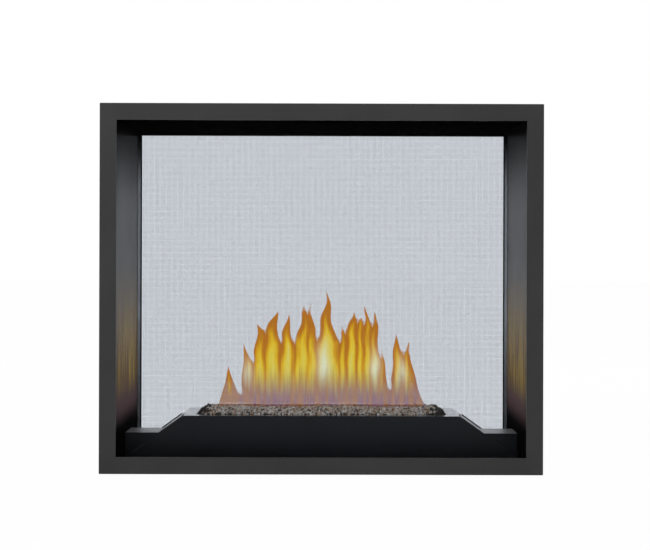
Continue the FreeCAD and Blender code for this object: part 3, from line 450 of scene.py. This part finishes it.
def wire_screen(side):
    """Fine welded mesh: upright wires with level wires lying against them."""
    node = f"{side}_screen_mesh"
    low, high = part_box(node)
    middle = (low.y + high.y) / 2
    points = []
    faces = []

    def lay(start, end, across, out):
        """One straight wire with four sides."""
        first = len(points)
        for spot in (start, end):
            for share_across, share_out in ((1, 0), (0, 1), (-1, 0), (0, -1)):
                points.append(spot + across * share_across * WIRE / 2 + out * share_out * WIRE / 2)
        for index in range(4):
            following = (index + 1) % 4
            faces.append((first + index, first + following, first + 4 + following, first + 4 + index))
        faces.append((first + 3, first + 2, first + 1, first))
        faces.append((first + 4, first + 5, first + 6, first + 7))

    depth = Vector((0, 1, 0))
    for across, along, width, offset in (
        (Vector((1, 0, 0)), Vector((0, 0, 1)), high.x - low.x, -WIRE / 2),
        (Vector((0, 0, 1)), Vector((1, 0, 0)), high.z - low.z, WIRE / 2),
    ):
        count = int(width / MESH_PITCH)
        edge = (width - count * MESH_PITCH) / 2
        corner = Vector((low.x, middle + offset, low.z))
        length = (high - low).dot(along)
        for index in range(count + 1):
            start = corner + across * (edge + index * MESH_PITCH)
            lay(start, start + along * length, across, depth)
    screen = new_piece(f"{side}_wire_screen", points, faces, FINISHES["screen_black"])
    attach(screen, f"{side}_surround")
    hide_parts(node)


# Rope seals and glass gaskets

SEAL_WIDTH = 0.006
GASKET_WIDTH = 0.0035
ROPE_STEP = 0.004
ROPE_SIDES = 8
ROPE_STRANDS = 3
ROPE_SWELL = 0.1
ROPE_PITCH = 0.030
BEND_STEPS = 5


def rope_path(node, width):
    """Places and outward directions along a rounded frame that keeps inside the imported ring."""
    low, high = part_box(node)
    middle = (low + high) / 2
    reach = (high - low) / 2 - Vector((1, 0, 1)) * (width + width / 2)
    corners = [Vector((x, 0, z)) for x, z in ((1, 1), (-1, 1), (-1, -1), (1, -1))]
    hubs = [middle + reach * corner for corner in corners]
    path = []
    for index, hub in enumerate(hubs):
        for step in range(BEND_STEPS + 1):
            angle = (index + step / BEND_STEPS) * math.pi / 2
            out = Vector((math.cos(angle), 0, math.sin(angle)))
            path.append((hub + out * width, out))
        run = hubs[(index + 1) % 4] - hub
        steps = int(run.length / ROPE_STEP)
        path.extend((hub + out * width + run * step / steps, out) for step in range(1, steps))
    return path


def twisted_rope(node, width, body):
    """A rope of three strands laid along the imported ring."""
    low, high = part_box(node)
    depth = high.y - low.y
    path = rope_path(node, width)
    turns = round(len(path) * ROPE_STEP / ROPE_PITCH)
    points = []
    faces = []
    for index, (spot, out) in enumerate(path):
        lay = math.tau * turns * index / len(path)
        for side in range(ROPE_SIDES):
            angle = math.tau * side / ROPE_SIDES
            swell = 1 - ROPE_SWELL + ROPE_SWELL * math.cos(ROPE_STRANDS * angle - lay)
            across = out * math.cos(angle) * width / 2 * swell
            points.append(spot + across + Vector((0, math.sin(angle) * depth / 2 * swell, 0)))
        first = index * ROPE_SIDES
        after = (index + 1) % len(path) * ROPE_SIDES
        for side in range(ROPE_SIDES):
            following = (side + 1) % ROPE_SIDES
            faces.append((first + side, after + side, after + following, first + following))
    rope = new_piece(f"{node}_rope", points, faces, FINISHES["rope_seal"], smooth=True)
    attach(rope, body)
    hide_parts(node)


# Lips of the housing

RAMP_RUN = 0.150
LIP_RISE = 0.0023
LIP_GAUGE = 0.0010
LIP_START = 0.025


def ramp_lips():
    """Low black lips along the rear edges of the housing's ramps."""
    low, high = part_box("burner_housing")
    slope = (high.z - low.z) / RAMP_RUN
    top = (high.x - RAMP_RUN + LIP_START, high.z - LIP_START * slope)
    points = []
    faces = []
    for side in (-1, 1):
        first = len(points)
        for across, height in (top, (high.x, low.z)):
            for depth in (high.y - LIP_GAUGE, high.y):
                points.extend((side * across, depth, height + rise) for rise in (0, LIP_RISE))
        for face in ((0, 1, 3, 2), (4, 6, 7, 5), (0, 4, 5, 1), (2, 3, 7, 6), (1, 5, 7, 3), (0, 2, 6, 4)):
            faces.append([first + index for index in face[::side]])
    lips = new_piece("rear_ramp_lips", points, faces, FINISHES["firebox_black"])
    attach(lips, "casing")


# Ember bed

# Colours of the chips, each with its share
CHIP_PALETTE = (
    ((0.060, 0.052, 0.048), 4),
    ((0.320, 0.250, 0.210), 3),
    ((0.600, 0.470, 0.370), 5),
    ((0.780, 0.670, 0.580), 6),
    ((0.860, 0.820, 0.780), 6),
    ((0.950, 0.945, 0.940), 6),
    ((0.660, 0.360, 0.190), 1),
)
CHIP_CORNERS = ((1, 0, 0), (0, 1, 0), (-1, 0, 0), (0, -1, 0), (0, 0, 1), (0, 0, -1))
CHIP_FACES = tuple((side, (side + 1) % 4, 4) for side in range(4)) + tuple(
    ((side + 1) % 4, side, 5) for side in range(4))
CHIP_SIZE = 0.0041
CHIP_SINK = 0.2
CHIP_COUNT = 10000
# Painted shade at the ends of the heap: how far in it reaches, and how strongly it turns chips to the darkest
# colour
SHADE_END = 0.045
SHADE_SHARE = 1.4

# Least and greatest share of a chip's size, reach on each axis, corners, tone and height in the heap
CHIP_SIZES = (0.55, 1.35)
CHIP_STRETCH = (0.6, 1.25)
CHIP_REACH = (0.72, 1.2)
CHIP_TONES = (0.75, 1.25)
CHIP_LIFT = (0.82, 1.05)

# The heap, and the dark layer under its chips whose colour is painted shade in the gaps between them
BED_COLUMNS = 96
BED_ROWS = 26
BED_DROP = 0.002
BED_ROUGH = 0.0006
GAP_SHADE_COLOUR = (0.030, 0.025, 0.022)
BRIM_ACROSS = 0.022
BRIM_ALONG = 0.030
BRIM_CURVE = 0.8


def heap_height(across, along, half, deep, rise):
    """Height of the heap above the plateau: a low mound with a soft brim."""
    side = min(1.0, (half - abs(across)) / BRIM_ACROSS)
    front = min(1.0, ((deep - abs(along)) / BRIM_ALONG) ** BRIM_CURVE)
    return rise * side * front


def ember_bed():
    """A dark layer in the shape of the heap, covered with chips; its colour is painted shade that shows
    between them.
    """
    _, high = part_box("ember_bed")
    _, housing_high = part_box("burner_housing")
    half = high.x
    deep = high.y
    brim = housing_high.z - BED_DROP
    rise = high.z - housing_high.z
    points = []
    faces = []
    colours = []
    for row in range(BED_ROWS + 1):
        for column in range(BED_COLUMNS + 1):
            across = half * (2 * column / BED_COLUMNS - 1)
            along = deep * (2 * row / BED_ROWS - 1)
            height = heap_height(across, along, half, deep, rise) * CHIP_LIFT[0]
            points.append((across, along, brim + height + rng.uniform(-1, 1) * BED_ROUGH))
            # Painted shade: the layer takes a dark colour that shows in the gaps between the chips
            colours.append((*GAP_SHADE_COLOUR, 1))
    for row in range(BED_ROWS):
        for column in range(BED_COLUMNS):
            first = row * (BED_COLUMNS + 1) + column
            after = first + BED_COLUMNS + 1
            faces.append((first, first + 1, after + 1, after))

    weights = [weight for _, weight in CHIP_PALETTE]
    for _ in range(CHIP_COUNT):
        across = rng.uniform(-1, 1) * (half - CHIP_SIZE)
        along = rng.uniform(-1, 1) * (deep - CHIP_SIZE)
        lift = heap_height(across, along, half, deep, rise)
        size = CHIP_SIZE * rng.uniform(*CHIP_SIZES)
        spot = Vector((across, along, brim + lift * rng.uniform(*CHIP_LIFT) - size * CHIP_SINK))
        turn = Euler([rng.uniform(0, math.tau) for _ in range(3)]).to_matrix()
        stretch = Vector([rng.uniform(*CHIP_STRETCH) for _ in range(3)])
        colour, = rng.choices([colour for colour, _ in CHIP_PALETTE], weights)
        # Painted shade: near the ends of the heap more chips take the darkest colour
        painted_shade_near_end = max(0.0, 1 - (half - abs(across)) / SHADE_END)
        if rng.random() < painted_shade_near_end * SHADE_SHARE:
            colour = CHIP_PALETTE[0][0]
        tone = rng.uniform(*CHIP_TONES)
        first = len(points)
        for corner in CHIP_CORNERS:
            reach = rng.uniform(*CHIP_REACH)
            points.append(spot + turn @ (Vector(corner) * stretch * reach) * size)
            colours.append((*(channel * tone for channel in colour), 1))
        faces.extend(tuple(first + index for index in face) for face in CHIP_FACES)
    bed = new_piece("crushed_ember_media", points, faces, FINISHES["embers"])
    paint_points(bed, "chip_colour", colours)
    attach(bed, "casing")
    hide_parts("ember_bed")


# Flames

# Upper edge of the fire, from left to right: place and height above the bed, hollow and tip by turns
FLAME_EDGE = (
    (-0.270, 0.000), (-0.242, 0.104), (-0.212, 0.034), (-0.202, 0.165), (-0.179, 0.121), (-0.166, 0.215),
    (-0.147, 0.202), (-0.117, 0.249), (-0.107, 0.174), (-0.088, 0.243), (-0.069, 0.174), (-0.044, 0.267),
    (-0.034, 0.251), (-0.027, 0.273), (-0.012, 0.182), (0.015, 0.302), (0.045, 0.175), (0.056, 0.214),
    (0.063, 0.199), (0.081, 0.248), (0.092, 0.229), (0.102, 0.233), (0.107, 0.224), (0.115, 0.265),
    (0.128, 0.220), (0.142, 0.249), (0.152, 0.137), (0.158, 0.157), (0.178, 0.050), (0.190, 0.191),
    (0.215, 0.145), (0.224, 0.171), (0.279, 0.000),
)
RISING_CURVE = 1.1
FALLING_CURVE = 1.9
FLAME_STEP = 0.0016
FEWEST_STEPS = 5
FLAME_ROWS = 44
FLAME_HALF = 0.009
FLAME_SINK = 0.001
EDGE_FADE = 0.024
SEAM_FADE = 0.022
SEAM_LENGTH = 1.6
SEAM_HEAT = 0.05
HAZE_REACH = 0.019
SWAY = 0.0045
SWAY_RISING = 75
SWAY_ACROSS = 35
LEAN = 0.03
LEAN_ACROSS = 40
TALLEST = max(height for _, height in FLAME_EDGE)

# Winding of the curtain along the burner: reach, radians in a metre and phase
WINDINGS = ((0.016, 23, 0.6), (0.007, 61, 2.0))

# Whitest spots of the fire: place, height above the bed and half width
HOT_CORES = ((-0.193, 0.072, 0.013), (0.004, 0.100, 0.016), (0.138, 0.098, 0.013), (0.207, 0.082, 0.012))
HOT_TALL = 3.2


def flame_top():
    """Points along the fire's upper edge: nearly straight rises and hollow falls."""
    top = []
    for index, (start, end) in enumerate(zip(FLAME_EDGE, FLAME_EDGE[1:])):
        steps = max(FEWEST_STEPS, math.ceil((end[0] - start[0]) / FLAME_STEP))
        for step in range(steps):
            share = step / steps
            if index % 2 == 0:
                rise = share ** RISING_CURVE
                height = start[1] + (end[1] - start[1]) * rise
            else:
                rise = (1 - share) ** FALLING_CURVE
                height = end[1] + (start[1] - end[1]) * rise
            top.append((start[0] + (end[0] - start[0]) * share, height))
    return np.array(top + [FLAME_EDGE[-1]])


def edge_distance(spots, top):
    """Distance of each spot from the fire's upper edge."""
    nearest = np.full(len(spots), np.inf)
    for start, end in zip(top, top[1:]):
        run = end - start
        share = np.clip((spots - start) @ run / (run @ run), 0, 1)
        nearest = np.minimum(nearest, np.linalg.norm(spots - start - share[:, None] * run, axis=1))
    return nearest


def flames():
    """One thin curtain of burning gas that winds along the burner, with its tongues' seams."""
    _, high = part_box("ember_bed")
    foot = high.z - FLAME_SINK
    top = flame_top()
    shares = np.linspace(0, 1, FLAME_ROWS + 1)
    across = np.repeat(top[:, 0], FLAME_ROWS + 1)
    peak = np.repeat(top[:, 1], FLAME_ROWS + 1)
    rise = np.tile(shares, len(top))
    height = peak * rise
    gap = edge_distance(np.stack([across, height], axis=1), top)
    edge = np.clip(gap / EDGE_FADE, 0, 1)
    half = FLAME_HALF * np.sqrt(edge)
    haze = np.zeros_like(edge)
    for place, hollow in FLAME_EDGE[2:-1:2]:
        below = np.maximum(0, hollow - height) / (SEAM_LENGTH * hollow)
        edge = np.minimum(edge, np.abs(across - place) / SEAM_FADE + below + SEAM_HEAT)
        reach = np.hypot(across - place, height - hollow)
        haze = np.maximum(haze, np.clip(1 - reach / HAZE_REACH, 0, 1))
    depth = LEAN * height * np.sin(across * LEAN_ACROSS)
    for reach, turn, phase in WINDINGS:
        depth += reach * np.sin(across * turn + phase)
    heat = np.zeros_like(edge)
    for place, middle, wide in HOT_CORES:
        heat += np.exp(-((across - place) / wide) ** 2 - ((height - middle) / (wide * HOT_TALL)) ** 2)
    sway = SWAY * np.sin(height * SWAY_RISING + across * SWAY_ACROSS) * height / TALLEST
    places = np.stack([edge, rise, height / TALLEST, haze], axis=1)
    material = flame_light()
    for name, side in (("front_flame_sheet", -1), ("rear_flame_sheet", 1)):
        points = np.stack([across + sway, depth + side * half, foot + height], axis=1)
        faces = []
        for column in range(len(top) - 1):
            for row in range(FLAME_ROWS):
                first = column * (FLAME_ROWS + 1) + row
                after = first + FLAME_ROWS + 1
                face = (first, after, after + 1, first + 1)
                faces.append(face if side < 0 else face[::-1])
        piece = new_piece(name, points.tolist(), faces, material, smooth=True)
        paint_points(piece, "flame_place", places)
        paint_points(piece, "flame_heat", np.repeat(heat[:, None], 4, axis=1))
        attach(piece, "casing")


# Stage, light and camera

AMBIENT = 0.55
FLOOR_WHITE = 0.975
FLOOR_COLOUR = (0.86, 0.86, 0.86, 1)
FLOOR_REACH = 30.0
SHOWING_RAYS = ("Is Camera Ray", "Is Glossy Ray", "Is Transmission Ray")
LAMP_SIZE = 4.2
LAMP_AIM = Vector((0, 0, 0.45))

# Name, place and power of each lamp
LAMPS = (("front_key", (-1.6, -3.4, 3.4), 90), ("rear_key", (1.8, 3.4, 3.2), 60))


def white_to_the_eye(tree):
    """1 for rays that show the background, directly or in gloss and glass."""
    node = tree.nodes.new("ShaderNodeLightPath")
    eye, gloss, through = (Tone(tree, node.outputs[name]) for name in SHOWING_RAYS)
    return (eye + gloss + through).between(0.0, 1.0)


def backdrop():
    """A white room, and a pale floor that shows nearly white and keeps a faint shadow."""
    world = bpy.data.worlds.new("studio")
    scene.world = world
    world.use_nodes = True
    tree = world.node_tree
    tree.nodes.clear()
    level = AMBIENT + white_to_the_eye(tree) * (1 - AMBIENT)
    glow = add_node(tree, "ShaderNodeBackground", None, {"Color": (1, 1, 1, 1), "Strength": level})
    add_node(tree, "ShaderNodeOutputWorld", None, {"Surface": glow})

    made, tree = new_material("pale_floor")
    matt = add_node(tree, "ShaderNodeBsdfDiffuse", None, {"Color": FLOOR_COLOUR})
    white = add_node(tree, "ShaderNodeEmission", None, {"Color": (1, 1, 1, 1), "Strength": 1.0})
    share = white_to_the_eye(tree) * FLOOR_WHITE
    cover = add_node(tree, "ShaderNodeMixShader", None, {0: share, 1: matt, 2: white})
    add_node(tree, "ShaderNodeOutputMaterial", None, {"Surface": cover})
    corners = [(x * FLOOR_REACH, y * FLOOR_REACH, 0) for x, y in ((-1, -1), (1, -1), (1, 1), (-1, 1))]
    new_piece("pale_floor", corners, [(0, 1, 2, 3)], made)


def soft_light(name, place, power):
    lamp = bpy.data.lights.new(name, "AREA")
    lamp.shape = "DISK"
    lamp.size = LAMP_SIZE
    lamp.energy = power
    holder = bpy.data.objects.new(name, lamp)
    holder.location = place
    holder.rotation_euler = (LAMP_AIM - Vector(place)).to_track_quat("-Z", "Y").to_euler()
    scene.collection.objects.link(holder)


def camera():
    lens = bpy.data.cameras.new("sight")
    lens.sensor_width = SENSOR
    lens.lens = FOCAL_PIXELS / FRAME_WIDTH * SENSOR
    lens.shift_x = (FRAME_WIDTH / 2 - VANISH_X) / FRAME_WIDTH
    lens.shift_y = (VANISH_Y - FRAME_HEIGHT / 2) / FRAME_WIDTH
    eye = bpy.data.objects.new("sight", lens)
    ahead = Euler((math.pi / 2, 0, 0)).to_matrix()
    eye.matrix_world = Matrix.Translation(EYE) @ (ahead @ Matrix.Rotation(ROLL, 3, "Z")).to_4x4()
    scene.collection.objects.link(eye)
    scene.camera = eye


finish_frame()
for face in ("front", "rear"):
    wire_screen(face)
    twisted_rope(f"{face}_door_seal", SEAL_WIDTH, f"{face}_door")
    twisted_rope(f"{face}_glass_gasket", GASKET_WIDTH, f"{face}_door")
ramp_lips()
ember_bed()
flames()
backdrop()
for lamp_name, lamp_place, lamp_power in LAMPS:
    soft_light(lamp_name, lamp_place, lamp_power)
camera()
scene.view_settings.view_transform = "Standard"
